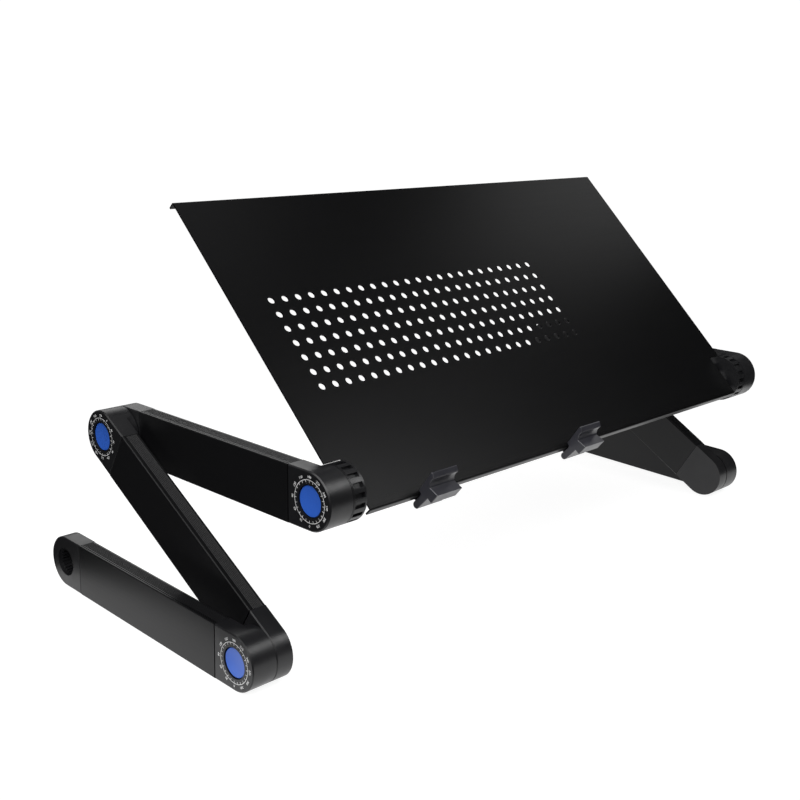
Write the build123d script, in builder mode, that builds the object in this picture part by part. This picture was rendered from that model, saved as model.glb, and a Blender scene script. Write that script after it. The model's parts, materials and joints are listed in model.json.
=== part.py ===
"""Folding laptop stand: a perforated aluminium panel carried by two legs of three hinged arms.

X runs along the panel's front edge, Y from the user towards the back and Z up. The origin is on
the floor, under the middle of the whole stand. Each leg is laid out in flat layers: the lower arm
is outermost, the middle arm next, then the upper arm, and the panel's hub is innermost. Every
joint is a push-button lock: a toothed gear bridges two toothed caps until the button is pressed.
"""

from build123d import *
import os
from math import cos, radians, sin

# Panel, an extrusion with a turned-down lip along its front and rear edges.
PANEL_WIDTH = 480.0
PANEL_DEPTH = 258.0
PANEL_TILT = 42.6
SHEET = 1.2
LIP_HEIGHT = 6.0
LIP_RADIUS = 1.4
GROOVE_AT = 1.8
GROOVE_WIDTH = 0.4
GROOVE_DEPTH = 0.25
SEAT_LINE_AT = 6.3
SEAT_LINE_WIDTH = 0.25
SEAT_LINE_DEPTH = 0.05
RAIL_CENTRES = (15.0, 28.0)
RAIL_WIDTH = 8.0
RAIL_HEIGHT = 2.0
NOTCH_INNER_X = 225.4
NOTCH_DEPTH = 39.2

# Ventilation holes, a rectangle of rows set towards the left.
VENT_RADIUS = 2.75
VENT_COLUMNS = 24
VENT_ROWS = 7
VENT_PITCH_X = 12.1
VENT_PITCH_U = 12.2
VENT_FIRST_X = -206.8
VENT_FIRST_U = 93.5

# Arms: tubes with moulded caps, all with the same pivot spacing.
ARM_LENGTH = 210.0
ARM_RADIUS = 19.75
ARM_THICKNESS = 13.2
TUBE_WALL = 1.6
SEAM = 21.0
SEAM_GAP = 0.25
SPIGOT_LENGTH = 12.0
SPIGOT_ROOT = 1.0
SPIGOT_GAP = 0.1
LAYER_PITCH = 19.4
UPPER_OUTER_X = 259.8
MIDDLE_ANGLE = 29.2
UPPER_ANGLE = -1.6
EDGE_BEVEL = 0.5
CAP_BEVEL = 0.8

# Fine V grooves along the narrow sides of each tube, cut by a square that stands on its corner.
RIB_COUNT = 7
RIB_PITCH = 1.2
RIB_SQUARE = 0.6
EDGE_GROOVE_AT = 1.9
EDGE_GROOVE_WIDTH = 0.7
EDGE_GROOVE_DEPTH = 0.6

# Joint lock, measured inward from the outer face of the dial cap.
BOSS_DEPTH = 19.0
RECESS_RADIUS = 10.85
RECESS_DEPTH = 8.0
WEB = 2.5
TEETH = 24
TOOTH_WIDTH = 1.5
TOOTH_ROOT = 0.2
SOCKET_ROOT = 14.6
SOCKET_TIP = 13.05
GEAR_TIP = 14.3
GEAR_ROOT = 12.75
CAP_TEETH_FROM = 16.4
GEAR_FROM = 16.6
GEAR_THICKNESS = 6.0
SOCKET_DEPTH = 7.6
BUTTON_RADIUS = 10.3
BUTTON_FACE = 0.8
BUTTON_WALL = 1.6
BUTTON_SIDE = 1.3
BUTTON_SKIRT = 3.2
BUTTON_DISH = 0.5
DISH_SPHERE = 100.0
LEG_RADIUS = 1.5
LEG_CIRCLE = 7.4
LEG_COUNT = 3
LEG_GAP = 0.3
BOLT_RADIUS = 2.5
BOLT_HEAD_RADIUS = 4.4
BOLT_HEAD = 2.4
BOLT_SOCKET = 1.7
BOLT_SOCKET_DEPTH = 1.4
RUNNING_GAP = 0.08
GEAR_BORE_GAP = 0.35
THREAD_GAP = 0.02
NUT_ACROSS_FLATS = 8.0
NUT_THICKNESS = 2.0
NUT_FROM = 29.5
NUT_POCKET_RADIUS = 5.2
NUT_POCKET_FROM = 10.0
NUT_COVER_THICKNESS = 1.0
WIRE_RADIUS = 0.4
SPRING_RADIUS = 10.0
SPRING_TURNS = 3
SPRING_END_GAP = 0.1

# Panel hub, a notched drum on the tilt axis with a plate that is screwed under the panel.
AXIS_BEHIND_EDGE = 20.1
AXIS_BELOW_TOP = 7.1
HUB_DEPTH = 11.4
PAD_COUNT = 18
PAD_START_ANGLE = 7.0
PAD_SLOT_WIDTH = 3.4
PAD_SLOT_DEPTH = 2.0
PAD_SLOT_FROM = 1.4
PAD_SLOT_TO = 9.9
RIM_LINE_AT = 0.6
RIM_LINE_WIDTH = 0.35
RIM_LINE_DEPTH = 0.4
DRUM_OVERLAP = 1.0
PLATE_INNER_X = 172.0
PLATE_THICKNESS = 5.2
PLATE_WIDTH = 26.0
NUT_ACCESS_RADIUS = 6.0
NUT_ACCESS_LENGTH = 15.0
SCREW_XS = (182.0, 206.0)
SCREW_RADIUS = 1.5
SCREW_HEAD_RADIUS = 3.0
SCREW_HEAD = 2.2
SCREW_TIP = 0.9
SCREW_CROSS = (3.4, 0.7)
SCREW_CROSS_DEPTH = 1.2
SCREW_GAP = 0.3

# Empty end socket of the lower arm.
FOOT_MOUTH = 3.0
FOOT_SOCKET_DEPTH = 10.2
FOOT_TOOTH_TIP = 9.6

# Stopper clips that slide along the front lip.
CLIP_WIDTH = 24.0
CLIP_CENTRES = {"left_clip": -168.3, "right_clip": -8.0}
CLIP_GAP = 0.35
CLIP_BEVEL = 0.3
CLIP_NOSE_U = -9.0
CLIP_NOSE_V = 12.6

# Directions along the panel's depth and square to it.
TILT_COS = cos(radians(PANEL_TILT))
TILT_SIN = sin(radians(PANEL_TILT))

# Pivot heights and places in Y, first from the front pivot, then centred over the whole stand.
ELBOW_DY = ARM_LENGTH * cos(radians(MIDDLE_ANGLE))
TILT_DY = ELBOW_DY - ARM_LENGTH * cos(radians(UPPER_ANGLE))
EDGE_DY = TILT_DY - AXIS_BELOW_TOP * TILT_SIN - AXIS_BEHIND_EDGE * TILT_COS
FRONT_DY = EDGE_DY + CLIP_NOSE_U * TILT_COS - CLIP_NOSE_V * TILT_SIN
REAR_DY = ARM_LENGTH + ARM_RADIUS
BASE_Y = -(FRONT_DY + REAR_DY) / 2
BASE_PIVOT = (BASE_Y, ARM_RADIUS)
FOOT_PIVOT = (BASE_Y + ARM_LENGTH, ARM_RADIUS)
ELBOW_PIVOT = (BASE_Y + ELBOW_DY, ARM_RADIUS + ARM_LENGTH * sin(radians(MIDDLE_ANGLE)))
TILT_PIVOT = (BASE_Y + TILT_DY, ELBOW_PIVOT[1] - ARM_LENGTH * sin(radians(UPPER_ANGLE)))
EDGE_Z = TILT_PIVOT[1] + AXIS_BELOW_TOP * TILT_COS - AXIS_BEHIND_EDGE * TILT_SIN
FRONT_EDGE = (0, BASE_Y + EDGE_DY, EDGE_Z)

# The panel's section, with u along its depth and v square to its top, and its top face.
SECTION = Plane(origin=FRONT_EDGE, x_dir=(0, TILT_COS, TILT_SIN), z_dir=(1, 0, 0))
TOP = Plane(origin=FRONT_EDGE, x_dir=(1, 0, 0), z_dir=(0, -TILT_SIN, TILT_COS))

SIDES = {"left": -1, "right": 1}
LAYER_X = {
    "upper": UPPER_OUTER_X,
    "middle": UPPER_OUTER_X + LAYER_PITCH,
    "lower": UPPER_OUTER_X + 2 * LAYER_PITCH,
}
# Each joint: the arm whose cap carries the dial, and its pivot.
JOINTS = {"base": ("lower", BASE_PIVOT), "elbow": ("middle", ELBOW_PIVOT), "tilt": ("upper", TILT_PIVOT)}


def face_plane(side, outer_x, pivot, angle):
    """Plane on the outer face of a layer, x along the arm and z into the stand."""
    sign = SIDES[side]
    direction = (0, cos(radians(angle)), sin(radians(angle)))
    return Plane(origin=(sign * outer_x, *pivot), x_dir=direction, z_dir=(-sign, 0, 0))


def write(part, label):
    """Labels a finished piece and writes its file."""
    part.label = label
    export_step(part, f"parts/{label}.step")


def cap_shell(plane, depth):
    """Round-ended cap body of the given boss depth, bevelled on its outer face, with its spigot."""
    with BuildPart() as shell:
        with BuildSketch(plane):
            Circle(ARM_RADIUS)
            with Locations((SEAM / 2, 0)):
                Rectangle(SEAM, 2 * ARM_RADIUS)
        extrude(amount=ARM_THICKNESS)
        if depth > ARM_THICKNESS:
            with BuildSketch(plane):
                Circle(ARM_RADIUS)
            extrude(amount=depth)
        outer_face = shell.faces().filter_by(Axis.X).sort_by(lambda f: (f.center() - plane.origin).length)[0]
        chamfer(outer_face.edges(), CAP_BEVEL)
        gap = TUBE_WALL + SPIGOT_GAP
        with BuildSketch(plane.offset(gap)):
            with Locations((SEAM + (SPIGOT_LENGTH - SPIGOT_ROOT) / 2, 0)):
                Rectangle(SPIGOT_LENGTH + SPIGOT_ROOT, 2 * (ARM_RADIUS - gap))
        extrude(amount=ARM_THICKNESS - 2 * gap)
    return shell.part


def socket_sketch(plane, root=SOCKET_ROOT, tip=SOCKET_TIP):
    """Section of a toothed socket: a round bore with straight teeth standing inward."""
    with BuildSketch(plane) as socket:
        Circle(root)
        with PolarLocations((root + tip) / 2 + TOOTH_ROOT, TEETH):
            Rectangle(root - tip + 2 * TOOTH_ROOT, TOOTH_WIDTH, mode=Mode.SUBTRACT)
    return socket.sketch


def dial_cap(plane):
    """Cap with the push-button recess on its outer face and the lock's short toothed ring inside."""
    with BuildPart() as cap:
        add(cap_shell(plane, BOSS_DEPTH))
        with BuildSketch(plane):
            Circle(RECESS_RADIUS)
        extrude(amount=RECESS_DEPTH, mode=Mode.SUBTRACT)
        with BuildSketch(plane.offset(RECESS_DEPTH)):
            Circle(BOLT_RADIUS + RUNNING_GAP)
            with PolarLocations(LEG_CIRCLE, LEG_COUNT):
                Circle(LEG_RADIUS + LEG_GAP)
        extrude(amount=WEB, mode=Mode.SUBTRACT)
        with BuildSketch(plane.offset(RECESS_DEPTH + WEB)):
            Circle(SOCKET_ROOT)
        extrude(amount=CAP_TEETH_FROM - RECESS_DEPTH - WEB, mode=Mode.SUBTRACT)
        extrude(socket_sketch(plane.offset(CAP_TEETH_FROM)), amount=BOSS_DEPTH - CAP_TEETH_FROM,
                mode=Mode.SUBTRACT)
    return cap.part


def cut_lock_socket(plane, wall_end):
    """Solid to remove from an inner neighbour: toothed socket, bolt bore and nut pocket."""
    with BuildPart() as cutter:
        extrude(socket_sketch(plane), amount=SOCKET_DEPTH)
        with BuildSketch(plane.offset(SOCKET_DEPTH)):
            Circle(BOLT_RADIUS + RUNNING_GAP)
        extrude(amount=wall_end - SOCKET_DEPTH)
        with BuildSketch(plane.offset(NUT_POCKET_FROM)):
            Circle(NUT_POCKET_RADIUS)
        extrude(amount=wall_end - NUT_POCKET_FROM)
    return cutter.part


def plain_cap(plane):
    """Cap without a dial: the inner half of a joint."""
    with BuildPart() as cap:
        add(cap_shell(plane, ARM_THICKNESS))
        add(cut_lock_socket(plane, ARM_THICKNESS), mode=Mode.SUBTRACT)
    return cap.part


def foot_cap(plane):
    """Cap on the free end of the lower arm, whose toothed socket is left open."""
    with BuildPart() as cap:
        add(cap_shell(plane, ARM_THICKNESS))
        with BuildSketch(plane):
            Circle(RECESS_RADIUS)
        extrude(amount=FOOT_MOUTH, mode=Mode.SUBTRACT)
        extrude(socket_sketch(plane.offset(FOOT_MOUTH), RECESS_RADIUS, FOOT_TOOTH_TIP),
                amount=FOOT_SOCKET_DEPTH - FOOT_MOUTH, mode=Mode.SUBTRACT)
    return cap.part


def tube(side, outer_x, pivot, angle):
    """Extruded rectangular tube between the two seams, finely grooved on both narrow sides."""
    sign = SIDES[side]
    direction = Vector(0, cos(radians(angle)), sin(radians(angle)))
    start = Vector(sign * outer_x, *pivot) + direction * (SEAM + SEAM_GAP)
    section = Plane(origin=start, x_dir=(-sign, 0, 0), z_dir=direction)
    middle = ARM_THICKNESS / 2
    with BuildPart() as arm:
        with BuildSketch(section):
            with Locations((middle, 0)):
                Rectangle(ARM_THICKNESS, 2 * ARM_RADIUS)
                Rectangle(ARM_THICKNESS - 2 * TUBE_WALL, 2 * (ARM_RADIUS - TUBE_WALL), mode=Mode.SUBTRACT)
            for edge_y in (-ARM_RADIUS, ARM_RADIUS):
                with Locations((EDGE_GROOVE_AT, edge_y)):
                    Rectangle(EDGE_GROOVE_WIDTH, 2 * EDGE_GROOVE_DEPTH, mode=Mode.SUBTRACT)
                with Locations((middle + RIB_PITCH / 2, edge_y)):
                    with GridLocations(RIB_PITCH, 1, RIB_COUNT, 1):
                        Rectangle(RIB_SQUARE, RIB_SQUARE, rotation=45, mode=Mode.SUBTRACT)
        extrude(amount=ARM_LENGTH - 2 * (SEAM + SEAM_GAP))
        chamfer(arm.edges().filter_by(lambda edge: is_outer_corner(section, edge)), EDGE_BEVEL)
    return arm.part


def is_outer_corner(section, edge):
    """True for the four outside corner lines of a tube."""
    at = section.to_local_coords(edge.center())
    on_face = min(abs(at.X), abs(at.X - ARM_THICKNESS)) < 0.01
    return on_face and abs(abs(at.Y) - ARM_RADIUS) < 0.01


def button(plane):
    """Push button: a dished cap with a skirt and the three legs that push the gear."""
    with BuildPart() as cap:
        with BuildSketch(plane.offset(BUTTON_FACE)):
            Circle(BUTTON_RADIUS)
        extrude(amount=BUTTON_SKIRT)
        rim = cap.faces().sort_by(lambda f: (f.center() - plane.origin).length)[0].edges()
        fillet(rim, EDGE_BEVEL)
        with BuildSketch(plane.offset(BUTTON_FACE + BUTTON_WALL)):
            Circle(BUTTON_RADIUS - BUTTON_SIDE)
        extrude(amount=BUTTON_SKIRT - BUTTON_WALL, mode=Mode.SUBTRACT)
        with BuildSketch(plane.offset(BUTTON_FACE + BUTTON_WALL)):
            with PolarLocations(LEG_CIRCLE, LEG_COUNT):
                Circle(LEG_RADIUS)
        extrude(amount=GEAR_FROM - BUTTON_FACE - BUTTON_WALL)
        with Locations(plane.offset(BUTTON_FACE + BUTTON_DISH - DISH_SPHERE)):
            Sphere(DISH_SPHERE, rotation=(0, 90, 0), mode=Mode.SUBTRACT)
    return cap.part


def lock_gear(plane):
    """Toothed gear that bridges the two caps, sliding on the bolt."""
    with BuildPart() as gear:
        with BuildSketch(plane.offset(GEAR_FROM)):
            Circle(GEAR_ROOT)
            with PolarLocations((GEAR_TIP + GEAR_ROOT) / 2 - TOOTH_ROOT, TEETH, start_angle=180 / TEETH):
                Rectangle(GEAR_TIP - GEAR_ROOT + 2 * TOOTH_ROOT, TOOTH_WIDTH)
            Circle(BOLT_RADIUS + GEAR_BORE_GAP, mode=Mode.SUBTRACT)
        extrude(amount=GEAR_THICKNESS)
    return gear.part


def spring(plane):
    """Coil spring between the gear and the end of the inner socket."""
    gear_back = GEAR_FROM + GEAR_THICKNESS
    room = LAYER_PITCH + SOCKET_DEPTH - gear_back
    height = room - 2 * (WIRE_RADIUS + SPRING_END_GAP)
    with BuildPart() as coil:
        with BuildLine() as path:
            Helix(
                pitch=height / SPRING_TURNS,
                height=height,
                radius=SPRING_RADIUS,
                center=plane.offset(gear_back + WIRE_RADIUS + SPRING_END_GAP).origin,
                direction=plane.z_dir,
            )
        with BuildSketch(Plane(origin=path.line @ 0, z_dir=path.line % 0)):
            Circle(WIRE_RADIUS)
        sweep(path=path.line, is_frenet=True)
    return coil.part


def bolt(plane):
    """Shouldered bolt whose head lies under the button, with a hexagon socket."""
    head_from = RECESS_DEPTH - BOLT_HEAD
    with BuildPart() as screw:
        with BuildSketch(plane.offset(head_from)):
            Circle(BOLT_HEAD_RADIUS)
        extrude(amount=BOLT_HEAD)
        with BuildSketch(plane.offset(RECESS_DEPTH)):
            Circle(BOLT_RADIUS)
        extrude(amount=NUT_FROM + NUT_THICKNESS - RECESS_DEPTH)
        with BuildSketch(plane.offset(head_from)):
            RegularPolygon(BOLT_SOCKET, 6)
        extrude(amount=BOLT_SOCKET_DEPTH, mode=Mode.SUBTRACT)
    return screw.part


def nut(plane):
    """Thin hexagon nut in the inner neighbour's pocket."""
    with BuildPart() as ring:
        with BuildSketch(plane.offset(NUT_FROM)):
            RegularPolygon(NUT_ACROSS_FLATS / 2, 6, major_radius=False)
            Circle(BOLT_RADIUS + THREAD_GAP, mode=Mode.SUBTRACT)
        extrude(amount=NUT_THICKNESS)
    return ring.part


def nut_cover(plane):
    """Disc pressed into a nut pocket, flush with the inner face of the inner cap."""
    with BuildPart() as disc:
        with BuildSketch(plane.offset(LAYER_PITCH + ARM_THICKNESS - NUT_COVER_THICKNESS)):
            Circle(NUT_POCKET_RADIUS - THREAD_GAP)
        extrude(amount=NUT_COVER_THICKNESS)
    return disc.part


def hub(side):
    """Notched drum on the tilt axis with its plate under the panel."""
    sign = SIDES[side]
    drum_x = UPPER_OUTER_X - LAYER_PITCH
    plane = face_plane(side, drum_x, TILT_PIVOT, PANEL_TILT)
    inner_x = drum_x - HUB_DEPTH
    plate_top = -SHEET - RAIL_HEIGHT
    with BuildPart() as drum:
        with BuildSketch(plane):
            Circle(ARM_RADIUS)
        extrude(amount=HUB_DEPTH)
        with BuildSketch(plane.offset(PAD_SLOT_FROM)):
            with PolarLocations(ARM_RADIUS, PAD_COUNT, start_angle=PAD_START_ANGLE):
                Rectangle(2 * PAD_SLOT_DEPTH, PAD_SLOT_WIDTH)
        extrude(amount=PAD_SLOT_TO - PAD_SLOT_FROM, mode=Mode.SUBTRACT)
        with BuildSketch(plane.offset(RIM_LINE_AT)):
            Circle(ARM_RADIUS)
            Circle(ARM_RADIUS - RIM_LINE_DEPTH, mode=Mode.SUBTRACT)
        extrude(amount=RIM_LINE_WIDTH, mode=Mode.SUBTRACT)
        with BuildSketch(SECTION.offset(sign * (inner_x + DRUM_OVERLAP))):
            with Locations((AXIS_BEHIND_EDGE, plate_top - PLATE_THICKNESS / 2)):
                Rectangle(PLATE_WIDTH, PLATE_THICKNESS)
        extrude(amount=-sign * (inner_x + DRUM_OVERLAP - PLATE_INNER_X))
        with BuildSketch(plane.offset(HUB_DEPTH)):
            Circle(NUT_ACCESS_RADIUS)
        extrude(amount=NUT_ACCESS_LENGTH, mode=Mode.SUBTRACT)
        add(cut_lock_socket(plane, HUB_DEPTH), mode=Mode.SUBTRACT)
        for x in SCREW_XS:
            for u in RAIL_CENTRES:
                with BuildSketch(TOP.offset(plate_top)):
                    with Locations((sign * x, u)):
                        Circle(SCREW_RADIUS + SCREW_GAP)
                extrude(amount=-PLATE_THICKNESS, mode=Mode.SUBTRACT)
                with BuildSketch(TOP.offset(plate_top - PLATE_THICKNESS)):
                    with Locations((sign * x, u)):
                        Circle(SCREW_HEAD_RADIUS + SCREW_GAP)
                extrude(amount=SCREW_HEAD, mode=Mode.SUBTRACT)
    return drum.part


def hub_screws(side):
    """The four self-tapping screws that hold a hub plate to the panel's rails."""
    sign = SIDES[side]
    plate_bottom = -SHEET - RAIL_HEIGHT - PLATE_THICKNESS
    with BuildPart() as screws:
        for x in SCREW_XS:
            for u in RAIL_CENTRES:
                with BuildSketch(TOP.offset(plate_bottom)):
                    with Locations((sign * x, u)):
                        Circle(SCREW_HEAD_RADIUS)
                extrude(amount=SCREW_HEAD)
                with BuildSketch(TOP.offset(plate_bottom + SCREW_HEAD)):
                    with Locations((sign * x, u)):
                        Circle(SCREW_RADIUS)
                extrude(amount=-plate_bottom - SCREW_HEAD - SCREW_TIP)
                with BuildSketch(TOP.offset(plate_bottom)):
                    with Locations((sign * x, u)):
                        Rectangle(*SCREW_CROSS)
                        Rectangle(*SCREW_CROSS, rotation=90)
                extrude(amount=SCREW_CROSS_DEPTH, mode=Mode.SUBTRACT)
    return screws.part


def panel():
    """The extruded top: sheet, two lips, two screw rails, vents and the two hub notches."""
    with BuildPart() as sheet:
        with BuildSketch(SECTION.offset(-PANEL_WIDTH / 2)):
            with BuildLine():
                Polyline((0, -LIP_RADIUS), (0, -LIP_HEIGHT), (SHEET, -LIP_HEIGHT), (SHEET, -LIP_RADIUS))
                ThreePointArc((SHEET, -LIP_RADIUS), inner_arc_middle(0), (LIP_RADIUS, -SHEET))
                Line((LIP_RADIUS, -SHEET), (PANEL_DEPTH - LIP_RADIUS, -SHEET))
                ThreePointArc((PANEL_DEPTH - LIP_RADIUS, -SHEET), inner_arc_middle(1),
                              (PANEL_DEPTH - SHEET, -LIP_RADIUS))
                Polyline((PANEL_DEPTH - SHEET, -LIP_RADIUS), (PANEL_DEPTH - SHEET, -LIP_HEIGHT),
                         (PANEL_DEPTH, -LIP_HEIGHT), (PANEL_DEPTH, -LIP_RADIUS))
                ThreePointArc((PANEL_DEPTH, -LIP_RADIUS), outer_arc_middle(1), (PANEL_DEPTH - LIP_RADIUS, 0))
                Line((PANEL_DEPTH - LIP_RADIUS, 0), (LIP_RADIUS, 0))
                ThreePointArc((LIP_RADIUS, 0), outer_arc_middle(0), (0, -LIP_RADIUS))
            make_face()
            for u in RAIL_CENTRES:
                with Locations((u, -SHEET - RAIL_HEIGHT / 2)):
                    Rectangle(RAIL_WIDTH, RAIL_HEIGHT)
            with Locations((GROOVE_AT, 0)):
                Rectangle(GROOVE_WIDTH, 2 * GROOVE_DEPTH, mode=Mode.SUBTRACT)
            with Locations((SEAT_LINE_AT, 0)):
                Rectangle(SEAT_LINE_WIDTH, 2 * SEAT_LINE_DEPTH, mode=Mode.SUBTRACT)
        extrude(amount=PANEL_WIDTH)
        corner = PANEL_WIDTH / 2 - NOTCH_INNER_X
        for sign in SIDES.values():
            with BuildSketch(TOP.offset(LIP_HEIGHT)):
                with Locations((sign * (NOTCH_INNER_X + corner), NOTCH_DEPTH / 2 - 1)):
                    Rectangle(2 * corner, NOTCH_DEPTH + 2)
            extrude(amount=-3 * LIP_HEIGHT, mode=Mode.SUBTRACT)
        vents_x = VENT_FIRST_X + VENT_PITCH_X * (VENT_COLUMNS - 1) / 2
        vents_u = VENT_FIRST_U + VENT_PITCH_U * (VENT_ROWS - 1) / 2
        with BuildSketch(TOP):
            with Locations((vents_x, vents_u)):
                with GridLocations(VENT_PITCH_X, VENT_PITCH_U, VENT_COLUMNS, VENT_ROWS):
                    Circle(VENT_RADIUS)
        extrude(amount=-2 * SHEET, mode=Mode.SUBTRACT)
        with BuildSketch(TOP.offset(-SHEET - RAIL_HEIGHT)):
            for sign in SIDES.values():
                for x in SCREW_XS:
                    for u in RAIL_CENTRES:
                        with Locations((sign * x, u)):
                            Circle(SCREW_RADIUS + THREAD_GAP)
        extrude(amount=SHEET + RAIL_HEIGHT - SCREW_TIP + SCREW_GAP, mode=Mode.SUBTRACT)
    return sheet.part


def outer_arc_middle(end):
    """Middle point of the outside bend at the front (0) or rear (1) edge."""
    inset = LIP_RADIUS * (1 - cos(radians(45)))
    return (PANEL_DEPTH - inset if end else inset, -inset)


def inner_arc_middle(end):
    """Middle point of the inside bend at the front (0) or rear (1) edge."""
    inset = LIP_RADIUS - (LIP_RADIUS - SHEET) * cos(radians(45))
    return (PANEL_DEPTH - inset if end else inset, -inset)


def clip(centre_x):
    """Stopper clip: a flared stop above the panel, a finger shelf in front and a hook round the lip."""
    near = CLIP_GAP
    with BuildPart() as stop:
        with BuildSketch(SECTION.offset(centre_x - CLIP_WIDTH / 2)):
            with BuildLine():
                Polyline((LIP_RADIUS, near), (2.8, near), (5.5, 17.8), (5.3, 18.8), (4.4, 19.2),
                         (1.8, 17.8), (1.2, 17.2), (1.3, 16.3))
                ThreePointArc((1.3, 16.3), (0.9, 13.0), (-1.4, 10.2))
                Polyline((-1.4, 10.2), (CLIP_NOSE_U, CLIP_NOSE_V), (-9.6, 3.6), (-5.6, 3.2), (-5.6, -9.2))
                ThreePointArc((-5.6, -9.2), (-3.0, -11.8), (-near, -9.2))
                Polyline((-near, -9.2), (-near, -7.7), (2.8, -7.7), (2.8, -4.0), (SHEET + near, -4.0),
                         (SHEET + near, -LIP_HEIGHT - near), (-near, -LIP_HEIGHT - near), (-near, -LIP_RADIUS))
                ThreePointArc((-near, -LIP_RADIUS),
                              (LIP_RADIUS - (LIP_RADIUS + near) * cos(radians(45)),
                               (LIP_RADIUS + near) * cos(radians(45)) - LIP_RADIUS),
                              (LIP_RADIUS, near))
            make_face()
        extrude(amount=CLIP_WIDTH)
        chamfer(stop.faces().filter_by(Axis.X).edges(), CLIP_BEVEL)
    return stop.part


def build_leg(side):
    """Makes and writes every piece of one leg."""
    arms = {
        "lower": (BASE_PIVOT, FOOT_PIVOT, 0.0),
        "middle": (ELBOW_PIVOT, BASE_PIVOT, MIDDLE_ANGLE + 180.0),
        "upper": (TILT_PIVOT, ELBOW_PIVOT, UPPER_ANGLE),
    }
    for name, (dial_pivot, far_pivot, angle) in arms.items():
        outer_x = LAYER_X[name]
        write(tube(side, outer_x, dial_pivot, angle), f"{side}_{name}_tube")
        write(dial_cap(face_plane(side, outer_x, dial_pivot, angle)), f"{side}_{name}_dial_cap")
        far_plane = face_plane(side, outer_x, far_pivot, angle + 180.0)
        if name == "lower":
            write(foot_cap(far_plane), f"{side}_lower_foot_cap")
        else:
            write(plain_cap(far_plane), f"{side}_{name}_plain_cap")
    for joint, (arm, pivot) in JOINTS.items():
        plane = face_plane(side, LAYER_X[arm], pivot, arms[arm][2])
        write(button(plane), f"{side}_{joint}_button")
        write(lock_gear(plane), f"{side}_{joint}_lock_gear")
        write(spring(plane), f"{side}_{joint}_spring")
        write(bolt(plane), f"{side}_{joint}_bolt")
        write(nut(plane), f"{side}_{joint}_nut")
        if joint != "tilt":
            write(nut_cover(plane), f"{side}_{joint}_nut_cover")
    write(hub(side), f"{side}_panel_hub")
    write(hub_screws(side), f"{side}_hub_screws")


os.makedirs("parts", exist_ok=True)
write(panel(), "panel")
for clip_name, clip_x in CLIP_CENTRES.items():
    write(clip(clip_x), clip_name)
for leg_side in SIDES:
    build_leg(leg_side)
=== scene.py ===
"""Folding laptop stand: finishes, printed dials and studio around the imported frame.

Lengths are in metres unless a name ends in _mm. X runs along the panel's front edge, Y from the
user towards the back and Z up. The frame's own solids keep their shape and only get a finish.
The graduations that are printed round every push button are grown by Geometry Nodes.
"""

import json
import logging
import math
from dataclasses import dataclass
from enum import Enum

import bpy
from mathutils import Euler, Matrix, Vector


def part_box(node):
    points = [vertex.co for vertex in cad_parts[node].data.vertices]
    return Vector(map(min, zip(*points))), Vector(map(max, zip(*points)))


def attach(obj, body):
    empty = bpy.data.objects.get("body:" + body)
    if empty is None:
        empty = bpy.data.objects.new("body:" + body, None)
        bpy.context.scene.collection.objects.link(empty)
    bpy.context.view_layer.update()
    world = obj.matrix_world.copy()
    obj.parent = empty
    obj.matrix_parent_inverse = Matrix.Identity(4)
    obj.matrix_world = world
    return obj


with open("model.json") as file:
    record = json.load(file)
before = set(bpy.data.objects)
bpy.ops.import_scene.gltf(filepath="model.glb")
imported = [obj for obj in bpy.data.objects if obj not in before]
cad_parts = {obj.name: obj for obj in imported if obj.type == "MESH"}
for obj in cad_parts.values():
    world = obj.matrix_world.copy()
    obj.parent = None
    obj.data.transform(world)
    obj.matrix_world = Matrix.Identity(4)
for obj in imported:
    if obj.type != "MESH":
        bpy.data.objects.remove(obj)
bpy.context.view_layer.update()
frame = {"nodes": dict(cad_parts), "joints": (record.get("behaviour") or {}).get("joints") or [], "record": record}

MM = 0.001

# Most values of a noise texture lie between these two.
NOISE_LOW = 0.3
NOISE_HIGH = 0.7

LOG = logging.getLogger("laptop_stand")

Socket = bpy.types.NodeSocket
Node = bpy.types.Node
Tree = bpy.types.NodeTree
Material = bpy.types.Material
Object = bpy.types.Object


class Side(Enum):
    """The two legs, with the sign of X on which each stands."""

    LEFT = -1
    RIGHT = 1

    @property
    def word(self) -> str:
        """The side's name as it stands at the front of a node's name."""
        return self.name.lower()


class Arm(Enum):
    """The three arms of a leg, with the joint at the dial end of each."""

    LOWER = "base"
    MIDDLE = "elbow"
    UPPER = "tilt"

    @property
    def word(self) -> str:
        """The arm's name as it stands in a node's name."""
        return self.name.lower()


def linear(hex_colour: str) -> tuple[float, float, float, float]:
    """Turns an sRGB hex colour into the linear RGBA that the shader sockets take.

    Args:
        hex_colour: Colour written as "#RRGGBB".

    Returns:
        Linear red, green, blue and an alpha of one.
    """
    channels = [int(hex_colour[i : i + 2], 16) / 255 for i in (1, 3, 5)]
    toned = [c / 12.92 if c <= 0.04045 else ((c + 0.055) / 1.055) ** 2.4 for c in channels]
    return (*toned, 1.0)


def add_node(tree: Tree, kind: str, inputs: dict | None = None, **settings: object) -> Node:
    """Adds one node to a shader or geometry tree, with its settings and links.

    Args:
        tree: Tree that gets the node.
        kind: Blender's type name of the node.
        inputs: Values or output sockets for the node's inputs, by name or number.
        settings: Values for the node's own properties.

    Returns:
        The new node.
    """
    node = tree.nodes.new(kind)
    for key, value in settings.items():
        setattr(node, key, value)
    for key, value in (inputs or {}).items():
        if isinstance(value, Socket):
            tree.links.new(value, node.inputs[key])
        else:
            node.inputs[key].default_value = value
    return node


def joint_place(name: str) -> Vector:
    """Gives the point that a joint turns about, at rest.

    Args:
        name: Joint's name in the frame.

    Returns:
        The point, in metres.
    """
    return Vector(next(j["pos_m"] for j in frame["joints"] if j["name"] == name))


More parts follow.
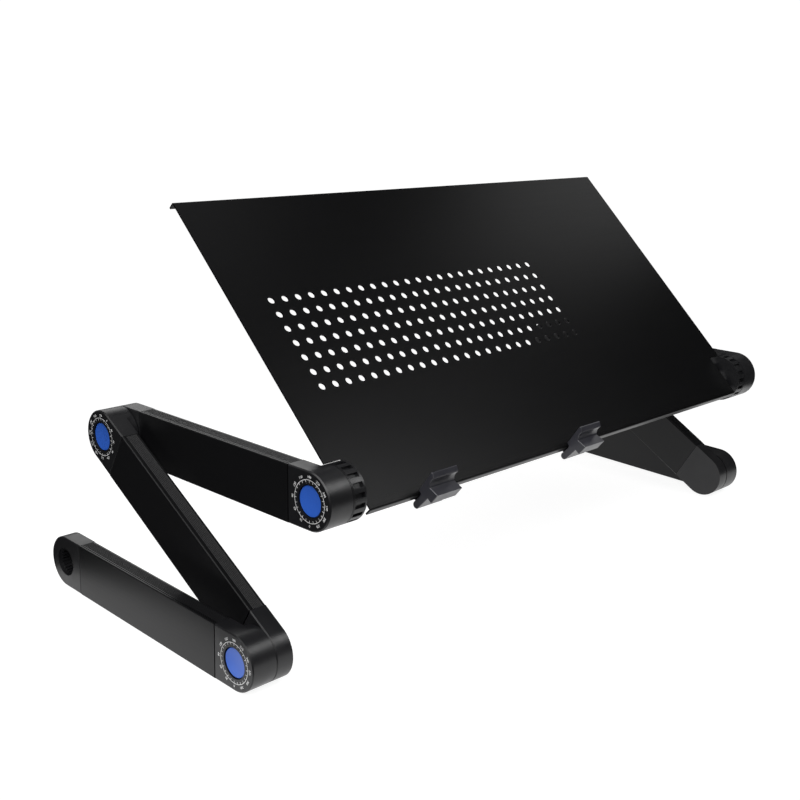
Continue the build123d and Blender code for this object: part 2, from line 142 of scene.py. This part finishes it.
def panel_tilt() -> float:
    """Gives the angle between the panel and the floor, in radians, from the rest face's direction."""
    rest = next(m for m in frame["record"]["mounts"] if m["name"] == "laptop_rest")
    return math.atan2(-rest["axis"][1], rest["axis"][2])


def lean_of(start: Vector, end: Vector) -> float:
    """Gives the angle above the floor of the line between two points, in radians."""
    return math.atan2(end.z - start.z, end.y - start.y)


@dataclass(frozen=True)
class Finish:
    """What every finish has: its colours and how rough its surface is.

    Fields:
        name: Name of the real material and how it was made.
        colour: Main colour, sRGB hex.
        second: Colour that large soft patches drift towards, sRGB hex.
        roughness: Middle roughness of the surface.
        patch_mm: Size of the soft patches.
    """

    name: str
    colour: str
    second: str
    roughness: float
    patch_mm: float = 60.0

    def start(self) -> tuple[Material, Tree, Node]:
        """Makes the material with its shader, output and object coordinates.

        Returns:
            The material, its tree and its shader node.
        """
        material = bpy.data.materials.new(self.name)
        material.use_nodes = True
        tree = material.node_tree
        tree.nodes.clear()
        shader = add_node(tree, "ShaderNodeBsdfPrincipled")
        add_node(tree, "ShaderNodeOutputMaterial", {"Surface": shader.outputs["BSDF"]})
        return material, tree, shader

    def place(self, tree: Tree, turn: float = 0.0, origin: Vector | None = None) -> Socket:
        """Gives coordinates in millimetres in axes turned about X.

        Args:
            tree: The material's tree.
            turn: Angle about X that lays the second axis along the part, in radians.
            origin: Point where the coordinates are zero, in metres.

        Returns:
            Vector socket of the turned coordinates.
        """
        where = add_node(tree, "ShaderNodeTexCoord").outputs["Object"]
        turned = add_node(
            tree,
            "ShaderNodeMapping",
            {
                "Vector": where,
                "Location": origin or Vector((0.0, 0.0, 0.0)),
                "Rotation": (turn, 0.0, 0.0),
                "Scale": (MM, MM, MM),
            },
            vector_type="TEXTURE",
        )
        return turned.outputs["Vector"]

    def tint(self, tree: Tree, shader: Node, where: Socket) -> None:
        """Lets the colour drift between the two colours in large soft patches.

        Args:
            tree: The material's tree.
            shader: Shader that takes the colour.
            where: Coordinates in millimetres.
        """
        patches = add_node(
            tree, "ShaderNodeTexNoise", {"Vector": where, "Scale": 1 / self.patch_mm, "Detail": 4.0}
        )
        mix = add_node(
            tree,
            "ShaderNodeMix",
            {0: patches.outputs["Fac"], 6: linear(self.colour), 7: linear(self.second)},
            data_type="RGBA",
        )
        tree.links.new(mix.outputs[2], shader.inputs["Base Color"])

    def spread(self, tree: Tree, shader: Node, fac: Socket, low: float, high: float) -> None:
        """Lets the roughness vary with a pattern.

        Args:
            tree: The material's tree.
            shader: Shader that takes the roughness.
            fac: Pattern from zero to one.
            low: Roughness where the pattern is low.
            high: Roughness where the pattern is high.
        """
        ranged = add_node(
            tree,
            "ShaderNodeMapRange",
            {"Value": fac, "From Min": NOISE_LOW, "From Max": NOISE_HIGH, "To Min": low, "To Max": high},
        )
        tree.links.new(ranged.outputs["Result"], shader.inputs["Roughness"])

    def relief(self, tree: Tree, shader: Node, height: Socket, depth_mm: float, strength: float) -> None:
        """Raises a pattern as bump.

        Args:
            tree: The material's tree.
            shader: Shader that takes the normal.
            height: Pattern from zero to one.
            depth_mm: Real depth of the pattern.
            strength: Share of that depth that shows.
        """
        bump = add_node(
            tree, "ShaderNodeBump", {"Height": height, "Distance": depth_mm * MM, "Strength": strength}
        )
        tree.links.new(bump.outputs["Normal"], shader.inputs["Normal"])


@dataclass(frozen=True)
class AnodisedExtrusion(Finish):
    """Aluminium extruded through a die, etched matt and dyed black.

    The eye sees a near-black satin skin with a silky grain along the extrusion, a faint blotch where
    the dye took unevenly, and short pale handling marks.

    Fields:
        turn: Angle about X that lays the second axis along the part.
        along_x: True where the extrusion runs along X, False where it runs along the second axis.
        grain_mm: Width of one die line, drawn wider than the real 0.1 mm so that it shows.
        grain_length_mm: Length over which a die line stays the same.
        grain_depth_mm: Depth of the die lines and the etched pits.
        grain_strength: Share of that depth that shows.
        etch_per_mm: Etched pits in one millimetre.
        mark_mm: Spacing of the handling marks.
        mark_colour: Colour of the handling marks, sRGB hex.
        mark_share: How far a mark covers the colour below.
        mark_core: Share of the spacing over which a mark is full.
        mark_rim: Share of the spacing at which a mark ends.
        gloss: Specular level of the dyed oxide layer.
    """

    turn: float = 0.0
    along_x: bool = True
    grain_mm: float = 0.5
    grain_length_mm: float = 60.0
    grain_depth_mm: float = 0.012
    grain_strength: float = 0.25
    etch_per_mm: float = 2.4
    mark_mm: float = 26.0
    mark_colour: str = "#26262A"
    mark_share: float = 0.18
    mark_core: float = 0.03
    mark_rim: float = 0.09
    gloss: float = 0.5

    def build(self) -> Material:
        """Makes the material."""
        material, tree, shader = self.start()
        where = self.place(tree, self.turn)
        self.tint(tree, shader, where)
        long_axis, across = 1 / self.grain_length_mm, 1 / self.grain_mm
        stretch = (long_axis, across, across) if self.along_x else (across, long_axis, across)
        drawn = add_node(tree, "ShaderNodeVectorMath", {0: where, 1: stretch}, operation="MULTIPLY")
        lines = add_node(
            tree, "ShaderNodeTexNoise", {"Vector": drawn.outputs["Vector"], "Scale": 1.0, "Detail": 2.0}
        )
        etch = add_node(
            tree, "ShaderNodeTexNoise", {"Vector": where, "Scale": self.etch_per_mm, "Detail": 2.0}
        )
        both = add_node(
            tree, "ShaderNodeMath", {0: lines.outputs["Fac"], 1: etch.outputs["Fac"]}, operation="ADD"
        )
        half = add_node(tree, "ShaderNodeMath", {0: both.outputs[0], 1: 0.5}, operation="MULTIPLY")
        self.spread(tree, shader, lines.outputs["Fac"], self.roughness - 0.02, self.roughness + 0.03)
        self.relief(tree, shader, half.outputs[0], self.grain_depth_mm, self.grain_strength)
        self.marks(tree, shader, where)
        shader.inputs["Specular IOR Level"].default_value = self.gloss
        return material

    def marks(self, tree: Tree, shader: Node, where: Socket) -> None:
        """Lays sparse pale scuffs over the colour.

        Args:
            tree: The material's tree.
            shader: Shader whose colour the scuffs cover.
            where: Coordinates in millimetres.
        """
        spacing, narrow = 1 / self.mark_mm, 6 / self.mark_mm
        bent = add_node(
            tree, "ShaderNodeVectorMath", {0: where, 1: (spacing, narrow, narrow)}, operation="MULTIPLY"
        )
        cells = add_node(tree, "ShaderNodeTexVoronoi", {"Vector": bent.outputs["Vector"], "Scale": 1.0})
        scuffed = add_node(
            tree,
            "ShaderNodeMapRange",
            {
                "Value": cells.outputs["Distance"],
                "From Min": self.mark_core,
                "From Max": self.mark_rim,
                "To Min": self.mark_share,
                "To Max": 0.0,
            },
        )
        base = shader.inputs["Base Color"].links[0].from_socket
        mix = add_node(
            tree,
            "ShaderNodeMix",
            {0: scuffed.outputs["Result"], 6: base, 7: linear(self.mark_colour)},
            data_type="RGBA",
        )
        tree.links.new(mix.outputs[2], shader.inputs["Base Color"])


@dataclass(frozen=True)
class MouldedPlastic(Finish):
    """Injection-moulded ABS from a spark-eroded tool.

    The eye sees a fine even orange-peel grain with soft broad highlights, and slightly glossier
    patches where hands have polished it.

    Fields:
        grain_mm: Size of the spark texture, drawn a little coarser than the real 0.1 mm.
        grain_depth_mm: Depth of the spark texture.
        grain_strength: Share of that depth that shows.
        polish_per_mm: Polished patches in one millimetre.
        polish_swing: How far the roughness goes down and up with them.
        gloss: Specular level of the plastic.
    """

    grain_mm: float = 0.35
    grain_depth_mm: float = 0.012
    grain_strength: float = 0.5
    polish_per_mm: float = 0.09
    polish_swing: float = 0.05
    gloss: float = 0.5

    def build(self) -> Material:
        """Makes the material."""
        material, tree, shader = self.start()
        where = self.place(tree)
        self.tint(tree, shader, where)
        grain = add_node(
            tree, "ShaderNodeTexNoise", {"Vector": where, "Scale": 1 / self.grain_mm, "Detail": 3.0}
        )
        polish = add_node(
            tree, "ShaderNodeTexNoise", {"Vector": where, "Scale": self.polish_per_mm, "Detail": 3.0}
        )
        low, high = self.roughness - self.polish_swing, self.roughness + self.polish_swing
        self.spread(tree, shader, polish.outputs["Fac"], low, high)
        self.relief(tree, shader, grain.outputs["Fac"], self.grain_depth_mm, self.grain_strength)
        shader.inputs["Specular IOR Level"].default_value = self.gloss
        return material


@dataclass(frozen=True)
class PlatedSteel(Finish):
    """Steel wire or a turned fastener with a thin bright plating.

    The eye sees a grey metal with fine turning lines and duller patches where the plating is thin.
    """

    def build(self) -> Material:
        """Makes the material."""
        material, tree, shader = self.start()
        where = self.place(tree)
        self.tint(tree, shader, where)
        lines = add_node(tree, "ShaderNodeTexNoise", {"Vector": where, "Scale": 3.0, "Detail": 4.0})
        self.spread(tree, shader, lines.outputs["Fac"], self.roughness - 0.08, self.roughness + 0.1)
        self.relief(tree, shader, lines.outputs["Fac"], 0.01, 0.4)
        shader.inputs["Metallic"].default_value = 1.0
        return material


@dataclass(frozen=True)
class PadPrintedInk(Finish):
    """White ink stamped on the plastic with a soft pad.

    The eye sees a slightly grey white that thins in small spots over the grain below.
    """

    def build(self) -> Material:
        """Makes the material."""
        material, tree, shader = self.start()
        where = self.place(tree)
        self.tint(tree, shader, where)
        thin = add_node(tree, "ShaderNodeTexNoise", {"Vector": where, "Scale": 2.5, "Detail": 2.0})
        self.spread(tree, shader, thin.outputs["Fac"], self.roughness - 0.06, self.roughness + 0.06)
        self.relief(tree, shader, thin.outputs["Fac"], 0.01, 0.3)
        return material


class Wardrobe:
    """Makes each finish once and hands out the material."""

    def __init__(self) -> None:
        """Starts with no material made."""
        self.made: dict[str, Material] = {}

    def get(self, finish: Finish) -> Material:
        """Gives the material of a finish, making it the first time.

        Args:
            finish: The finish that is wanted.

        Returns:
            Its material.
        """
        if finish.name not in self.made:
            self.made[finish.name] = finish.build()
        return self.made[finish.name]

    def dress(self, node: str, finish: Finish) -> None:
        """Gives a solid of the frame its finish.

        Args:
            node: Name of the solid.
            finish: The finish it gets.
        """
        solid = frame["nodes"][node]
        solid.material_slots[0].material = self.get(finish)
        LOG.info("%s gets %s", node, finish.name)


BLACK_ABS = MouldedPlastic("moulded_black_abs", "#121214", "#18181A", 0.36, 25.0, gloss=0.42)
BLUE_ABS = MouldedPlastic("moulded_blue_abs", "#2B5DC2", "#3466CC", 0.36, 12.0, grain_mm=0.3)
CLIP_ABS = MouldedPlastic("moulded_charcoal_abs", "#26262B", "#2E2E35", 0.36, 12.0, gloss=0.75)
NYLON = MouldedPlastic("moulded_natural_nylon", "#D9D4C6", "#CFC9B8", 0.45, 10.0)
ZINC = PlatedSteel("zinc_plated_steel", "#B9BCC0", "#A2A5A9", 0.34, 4.0)
SPRING_WIRE = PlatedSteel("drawn_spring_wire", "#8E9195", "#7C7F84", 0.3, 4.0)
DIAL_INK = PadPrintedInk("pad_printed_white_ink", "#A2A4AB", "#92959E", 0.5, 3.0)


def grow(name: str, tree: Tree, values: dict[str, object], place: Matrix) -> Object:
    """Runs a geometry tree, keeps the result as a plain mesh and puts it in place.

    Args:
        name: Name of the finished piece.
        tree: Geometry tree that makes the shape.
        values: Values of the tree's inputs, by name.
        place: Where the shape goes; it is worked into the mesh.

    Returns:
        The piece, with its object at the origin and no modifier.
    """
    host = bpy.data.objects.new(name, bpy.data.meshes.new(name))
    bpy.context.scene.collection.objects.link(host)
    modifier = host.modifiers.new("shape", "NODES")
    modifier.node_group = tree
    for item in tree.interface.items_tree:
        if item.in_out == "INPUT" and item.name in values:
            modifier[item.identifier] = values[item.name]
    host.update_tag()
    graph = bpy.context.evaluated_depsgraph_get()
    mesh = bpy.data.meshes.new_from_object(host.evaluated_get(graph), depsgraph=graph)
    mesh.name = name
    mesh.transform(place)
    host.modifiers.clear()
    host.data = mesh
    return host


def new_shape_tree(name: str, inputs: dict[str, str]) -> tuple[Tree, Node]:
    """Starts a geometry tree with named inputs.

    Args:
        name: Name of the tree.
        inputs: Kind of each input, by name, such as "Float" or "Int".

    Returns:
        The tree and its input node.
    """
    tree = bpy.data.node_groups.new(name, "GeometryNodeTree")
    for label, kind in inputs.items():
        tree.interface.new_socket(name=label, in_out="INPUT", socket_type=f"NodeSocket{kind}")
    tree.interface.new_socket(name="Geometry", in_out="OUTPUT", socket_type="NodeSocketGeometry")
    return tree, add_node(tree, "NodeGroupInput")


def end_shape_tree(tree: Tree, shape: Socket, material: Socket) -> None:
    """Ends a geometry tree in real geometry with its material set.

    Args:
        tree: The tree.
        shape: Geometry socket of the finished shape.
        material: Socket of the material input.
    """
    real = add_node(tree, "GeometryNodeRealizeInstances", {"Geometry": shape})
    dressed = add_node(
        tree, "GeometryNodeSetMaterial", {"Geometry": real.outputs["Geometry"], "Material": material}
    )
    add_node(tree, "NodeGroupOutput", {"Geometry": dressed.outputs["Geometry"]})


@dataclass
class Dial:
    """Graduations printed round one push button.

    Fields:
        side: Leg that the dial is on.
        arm: Arm whose cap carries it.
        ring_radius: Radius of the printed circle.
        ring_width: Width of the circle's line.
        tick_count: Ticks round the circle, one for each tooth of the lock.
        tick_length: Length of a tick, inward from the circle.
        tick_width: Width of a tick.
        number_step: Degrees between two numbers.
        number_radius: Radius of the middle of the numbers.
        number_height: Text size of the numbers.
        number_weight: How far the numbers' outlines are pushed outward.
        ink: Thickness of the ink.
    """

    side: Side
    arm: Arm
    ring_radius: float = 14.1 * MM
    ring_width: float = 0.34 * MM
    tick_count: int = 24
    tick_length: float = 1.7 * MM
    tick_width: float = 0.32 * MM
    number_step: int = 30
    number_radius: float = 16.1 * MM
    number_height: float = 2.4 * MM
    number_weight: float = 0.03 * MM
    ink: float = 0.03 * MM

    def place(self) -> Matrix:
        """Gives the dial's own axes: x along the arm, z out of the cap's face."""
        pivot = joint_place(f"{self.side.word}_{self.arm.value}_hinge")
        low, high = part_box(f"{self.side.word}_{self.arm.word}_dial_cap")
        face = low.x if self.side is Side.LEFT else high.x
        out = Vector((self.side.value, 0.0, 0.0))
        middle_of_tube = sum(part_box(f"{self.side.word}_{self.arm.word}_tube"), Vector()) / 2
        along = Vector((0.0, middle_of_tube.y - pivot.y, middle_of_tube.z - pivot.z)).normalized()
        across = out.cross(along)
        axes = Matrix((along, across, out)).transposed().to_4x4()
        return Matrix.Translation((face, pivot.y, pivot.z)) @ axes

    @staticmethod
    def shape_tree() -> Tree:
        """Builds the tree that grows the printed circle and its ticks."""
        tree, inputs = new_shape_tree(
            "dial_graduations",
            {
                "Ring radius": "Float",
                "Ring width": "Float",
                "Tick count": "Int",
                "Tick length": "Float",
                "Tick width": "Float",
                "Ink": "Float",
                "Material": "Material",
            },
        )
        radius, ink = inputs.outputs["Ring radius"], inputs.outputs["Ink"]
        circle = add_node(tree, "GeometryNodeCurvePrimitiveCircle", {"Resolution": 96, "Radius": radius})
        line = add_node(
            tree,
            "GeometryNodeCurvePrimitiveQuadrilateral",
            {"Width": inputs.outputs["Ring width"], "Height": ink},
        )
        ring = add_node(
            tree,
            "GeometryNodeCurveToMesh",
            {"Curve": circle.outputs["Curve"], "Profile Curve": line.outputs["Curve"]},
        )
        size = add_node(
            tree,
            "ShaderNodeCombineXYZ",
            {"X": inputs.outputs["Tick length"], "Y": inputs.outputs["Tick width"], "Z": ink},
        )
        block = add_node(tree, "GeometryNodeMeshCube", {"Size": size.outputs["Vector"]})
        half_length = add_node(
            tree, "ShaderNodeMath", {0: inputs.outputs["Tick length"], 1: 0.5}, operation="MULTIPLY"
        )
        tick_radius = add_node(
            tree, "ShaderNodeMath", {0: radius, 1: half_length.outputs[0]}, operation="SUBTRACT"
        )
        outward = add_node(tree, "ShaderNodeCombineXYZ", {"X": tick_radius.outputs[0]})
        tick = add_node(
            tree,
            "GeometryNodeTransform",
            {"Geometry": block.outputs["Mesh"], "Translation": outward.outputs["Vector"]},
        )
        count = inputs.outputs["Tick count"]
        heap = add_node(tree, "GeometryNodeMeshLine", {"Count": count, "Offset": (0.0, 0.0, 0.0)})
        step = add_node(tree, "ShaderNodeMath", {0: math.tau, 1: count}, operation="DIVIDE")
        index = add_node(tree, "GeometryNodeInputIndex")
        turn = add_node(
            tree, "ShaderNodeMath", {0: index.outputs["Index"], 1: step.outputs[0]}, operation="MULTIPLY"
        )
        about_z = add_node(tree, "ShaderNodeCombineXYZ", {"Z": turn.outputs[0]})
        ticks = add_node(
            tree,
            "GeometryNodeInstanceOnPoints",
            {
                "Points": heap.outputs["Mesh"],
                "Instance": tick.outputs["Geometry"],
                "Rotation": about_z.outputs["Vector"],
            },
        )
        joined = add_node(tree, "GeometryNodeJoinGeometry")
        tree.links.new(ring.outputs["Mesh"], joined.inputs["Geometry"])
        tree.links.new(ticks.outputs["Instances"], joined.inputs["Geometry"])
        end_shape_tree(tree, joined.outputs["Geometry"], inputs.outputs["Material"])
        return tree

    def number(self, degrees: int, material: Material) -> bpy.types.Mesh:
        """Makes one number as a mesh, standing upright on its own radius.

        Args:
            degrees: The number and its angle round the dial.
            material: Ink of the number.

        Returns:
            Mesh in the dial's own axes.
        """
        curve = bpy.data.curves.new("number", "FONT")
        curve.body = str(degrees)
        curve.align_x = "CENTER"
        curve.align_y = "CENTER"
        curve.size = self.number_height
        curve.offset = self.number_weight
        curve.extrude = self.ink / 2
        curve.resolution_u = 3
        text = bpy.data.objects.new("number", curve)
        bpy.context.scene.collection.objects.link(text)
        graph = bpy.context.evaluated_depsgraph_get()
        mesh = bpy.data.meshes.new_from_object(text.evaluated_get(graph), depsgraph=graph)
        bpy.data.objects.remove(text)
        bpy.data.curves.remove(curve)
        upright = Matrix.Translation((0.0, self.number_radius, 0.0))
        mesh.transform(Matrix.Rotation(-math.radians(degrees), 4, "Z") @ upright)
        mesh.materials.clear()
        mesh.materials.append(material)
        return mesh

    def build(self, wardrobe: Wardrobe, tree: Tree) -> Object:
        """Prints the dial and lets it ride on its arm.

        Args:
            wardrobe: Where the ink comes from.
            tree: Tree that grows the circle and ticks.

        Returns:
            The printed dial as one piece.
        """
        ink = wardrobe.get(DIAL_INK)
        name = f"{self.side.word}_{self.arm.value}_dial_print"
        values = {
            "Ring radius": self.ring_radius,
            "Ring width": self.ring_width,
            "Tick count": self.tick_count,
            "Tick length": self.tick_length,
            "Tick width": self.tick_width,
            "Ink": self.ink,
            "Material": ink,
        }
        dial = grow(name, tree, values, Matrix.Identity(4))
        numbers = [self.number(angle, ink) for angle in range(0, 360, self.number_step)]
        merged = join_meshes(name, [dial.data, *numbers])
        merged.transform(self.place())
        dial.data = merged
        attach(dial, f"{self.side.word}_{self.arm.word}_arm")
        LOG.info("%s printed with %d ticks", name, self.tick_count)
        return dial


def join_meshes(name: str, meshes: list[bpy.types.Mesh]) -> bpy.types.Mesh:
    """Joins meshes of one material into one.

    Args:
        name: Name of the joined mesh.
        meshes: The meshes, all in the same axes.

    Returns:
        The joined mesh.
    """
    points: list[Vector] = []
    faces: list[list[int]] = []
    for mesh in meshes:
        start = len(points)
        points += [v.co.copy() for v in mesh.vertices]
        faces += [[start + i for i in p.vertices] for p in mesh.polygons]
    joined = bpy.data.meshes.new(name)
    joined.from_pydata(points, [], faces)
    joined.materials.append(meshes[0].materials[0])
    joined.update()
    return joined


@dataclass
class Leg:
    """One leg: three arms of tube and moulded caps, three locks and the hub under the panel.

    Fields:
        side: Which leg.
        tube_roughness: Roughness of the anodised tubes.
    """

    side: Side
    tube_roughness: float = 0.36

    def tube_finish(self, arm: Arm) -> AnodisedExtrusion:
        """Gives the tube's finish with its die lines along the arm.

        Args:
            arm: The arm that the tube belongs to.

        Returns:
            The finish.
        """
        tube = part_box(f"{self.side.word}_{arm.word}_tube")
        start = joint_place(f"{self.side.word}_{arm.value}_hinge")
        lean = lean_of(start, sum(tube, Vector()) / 2)
        return AnodisedExtrusion(
            f"black_anodised_tube_{arm.word}",
            "#0A0A0B",
            "#0F0F11",
            self.tube_roughness,
            80.0,
            turn=lean,
            along_x=False,
            gloss=0.27,
        )

    def dress(self, wardrobe: Wardrobe) -> None:
        """Gives every solid of the leg its finish.

        Args:
            wardrobe: Where the materials come from.
        """
        word = self.side.word
        for arm in Arm:
            wardrobe.dress(f"{word}_{arm.word}_tube", self.tube_finish(arm))
            wardrobe.dress(f"{word}_{arm.word}_dial_cap", BLACK_ABS)
            far_cap = "foot_cap" if arm is Arm.LOWER else "plain_cap"
            wardrobe.dress(f"{word}_{arm.word}_{far_cap}", BLACK_ABS)
            wardrobe.dress(f"{word}_{arm.value}_button", BLUE_ABS)
            wardrobe.dress(f"{word}_{arm.value}_lock_gear", NYLON)
            wardrobe.dress(f"{word}_{arm.value}_bolt", ZINC)
            wardrobe.dress(f"{word}_{arm.value}_nut", ZINC)
            if arm is not Arm.UPPER:
                wardrobe.dress(f"{word}_{arm.value}_nut_cover", BLACK_ABS)
            wardrobe.dress(f"{word}_{arm.value}_spring", SPRING_WIRE)
        wardrobe.dress(f"{word}_panel_hub", BLACK_ABS)
        wardrobe.dress(f"{word}_hub_screws", ZINC)


@dataclass
class Top:
    """The perforated panel and its two sliding stoppers.

    Fields:
        roughness: Roughness of the anodised sheet.
    """

    roughness: float = 0.32

    def dress(self, wardrobe: Wardrobe) -> None:
        """Gives the panel and the clips their finish.

        Args:
            wardrobe: Where the materials come from.
        """
        sheet = AnodisedExtrusion(
            "black_anodised_sheet", "#050506", "#09090A", self.roughness, 120.0, turn=panel_tilt(), gloss=0.14
        )
        wardrobe.dress("panel", sheet)
        for clip in ("left_clip", "right_clip"):
            wardrobe.dress(clip, CLIP_ABS)


Point = tuple[float, float, float]


@dataclass(frozen=True)
class SoftBox:
    """One rectangular soft box that the camera doesn't see.

    Fields:
        name: Name of the light.
        place: Where it hangs.
        target: Point that it faces.
        size: Width and height of its cloth.
        power: Its power in watts.
    """

    name: str
    place: Point
    target: Point
    size: tuple[float, float]
    power: float

    def hang(self) -> None:
        """Makes the light and hangs it in the scene."""
        data = bpy.data.lights.new(self.name, "AREA")
        data.shape = "RECTANGLE"
        data.size, data.size_y = self.size
        data.energy = self.power
        light = bpy.data.objects.new(self.name, data)
        light.location = self.place
        light.visible_camera = False
        aim = Vector(self.target) - Vector(self.place)
        light.rotation_euler = aim.to_track_quat("-Z", "Y").to_euler()
        bpy.context.scene.collection.objects.link(light)


SOFT_BOXES = (
    SoftBox("key", (-1.15, -0.75, 1.1), (-0.25, 0.0, 0.08), (0.9, 0.9), 18.0),
    SoftBox("front", (0.49, -0.74, 0.94), (-0.28, -0.1, 0.05), (0.5, 0.5), 4.5),
    SoftBox("overhead", (-0.75, 0.1, 1.2), (-0.27, 0.0, 0.1), (1.0, 1.0), 9.0),
    SoftBox("back", (0.31, 1.17, 0.72), (-0.2, 0.0, 0.05), (1.1, 0.8), 4.0),
    SoftBox("top", (0.3, 0.05, 1.3), (-0.2, 0.0, 0.25), (0.5, 0.5), 0.55),
    SoftBox("right", (0.72, 0.06, 0.66), (0.24, 0.06, 0.29), (0.3, 0.3), 0.25),
)


@dataclass
class Studio:
    """Lit white table, dark room with soft boxes, and the camera.

    Fields:
        table_radius: Radius of the lit table top.
        table_middle: Middle of the table top.
        table_glow: Light that the table top gives off.
        dome_radius: Radius of the white background.
        room_low: Height on the unit sphere up to which the room has its light at the horizon.
        room_high: Height on the unit sphere from which the room has its light at the top.
        room_horizon: The room's light at the horizon.
        room_top: The room's light at the top.
        camera_place: Where the camera stands.
        camera_turn: Camera's Euler angles in degrees.
        lens: Focal length in millimetres on a 36 mm sensor.
        shift: Shift of the lens, as a share of the picture's width.
    """

    table_radius: float = 0.43
    table_middle: Point = (0.09, 0.0, -0.0002)
    table_glow: float = 0.9
    dome_radius: float = 9.0
    room_low: float = 0.1
    room_high: float = 0.65
    room_horizon: float = 0.05
    room_top: float = 0.03
    camera_place: Point = (-0.7013, -0.6192, 0.3844)
    camera_turn: Point = (73.735, -1.807, -44.675)
    lens: float = 52.03
    shift: tuple[float, float] = (0.0093, 0.0134)

    def build(self) -> None:
        """Builds the table, background, lights and camera."""
        bpy.context.scene.view_settings.view_transform = "Standard"
        self.table()
        self.background()
        self.room()
        for box in SOFT_BOXES:
            box.hang()
        self.camera()

    def glow_material(self, name: str, colour: str, glow: float) -> Material:
        """Makes a white surface that also gives light.

        Args:
            name: Name of the material.
            colour: Its colour, sRGB hex.
            glow: Strength of its own light.

        Returns:
            The material.
        """
        material = bpy.data.materials.new(name)
        material.use_nodes = True
        tree = material.node_tree
        tree.nodes.clear()
        shader = add_node(
            tree,
            "ShaderNodeBsdfPrincipled",
            {
                "Base Color": linear(colour),
                "Roughness": 0.6,
                "Emission Color": (1.0, 1.0, 1.0, 1.0),
                "Emission Strength": glow,
            },
        )
        add_node(tree, "ShaderNodeOutputMaterial", {"Surface": shader.outputs["BSDF"]})
        return material

    def table(self) -> None:
        """Lays the lit round table top under the stand."""
        bpy.ops.mesh.primitive_circle_add(
            vertices=128, radius=self.table_radius, fill_type="NGON", location=self.table_middle
        )
        top = bpy.context.object
        top.name = "table_top"
        top.data.materials.append(self.glow_material("white_acrylic_table", "#8A8A8A", self.table_glow))

    def background(self) -> None:
        """Puts a white dome round the room that only the camera sees."""
        bpy.ops.mesh.primitive_uv_sphere_add(segments=48, ring_count=24, radius=self.dome_radius)
        dome = bpy.context.object
        dome.name = "white_background"
        dome.data.materials.append(self.glow_material("white_paper_background", "#F4F4F4", 1.0))
        for ray in ("diffuse", "glossy", "transmission", "volume_scatter", "shadow"):
            setattr(dome, f"visible_{ray}", False)

    def room(self) -> None:
        """Sets the dim room round the table, lighter towards the horizon."""
        world = bpy.data.worlds.new("studio")
        world.use_nodes = True
        bpy.context.scene.world = world
        tree = world.node_tree
        tree.nodes.clear()
        where = add_node(tree, "ShaderNodeTexCoord").outputs["Generated"]
        height = add_node(tree, "ShaderNodeSeparateXYZ", {"Vector": where}).outputs["Z"]
        ramp = add_node(
            tree,
            "ShaderNodeMapRange",
            {
                "Value": height,
                "From Min": self.room_low,
                "From Max": self.room_high,
                "To Min": self.room_horizon,
                "To Max": self.room_top,
            },
        )
        sky = add_node(tree, "ShaderNodeBackground", {"Strength": ramp.outputs["Result"]})
        add_node(tree, "ShaderNodeOutputWorld", {"Surface": sky.outputs["Background"]})

    def camera(self) -> None:
        """Stands the camera at the front left, a little above the panel."""
        data = bpy.data.cameras.new("camera")
        data.sensor_width = 36.0
        data.lens = self.lens
        data.shift_x, data.shift_y = self.shift
        data.clip_end = 3 * self.dome_radius
        view = bpy.data.objects.new("camera", data)
        view.location = self.camera_place
        view.rotation_euler = Euler([math.radians(angle) for angle in self.camera_turn], "XYZ")
        bpy.context.scene.collection.objects.link(view)
        bpy.context.scene.camera = view


def main() -> None:
    """Builds and dresses the stand, then the studio."""
    logging.basicConfig(level=logging.INFO, format="%(message)s")
    wardrobe = Wardrobe()
    Top().dress(wardrobe)
    graduations = Dial.shape_tree()
    for side in Side:
        Leg(side).dress(wardrobe)
        for arm in Arm:
            Dial(side, arm).build(wardrobe, graduations)
    Studio().build()


if __name__ == "__main__":
    main()
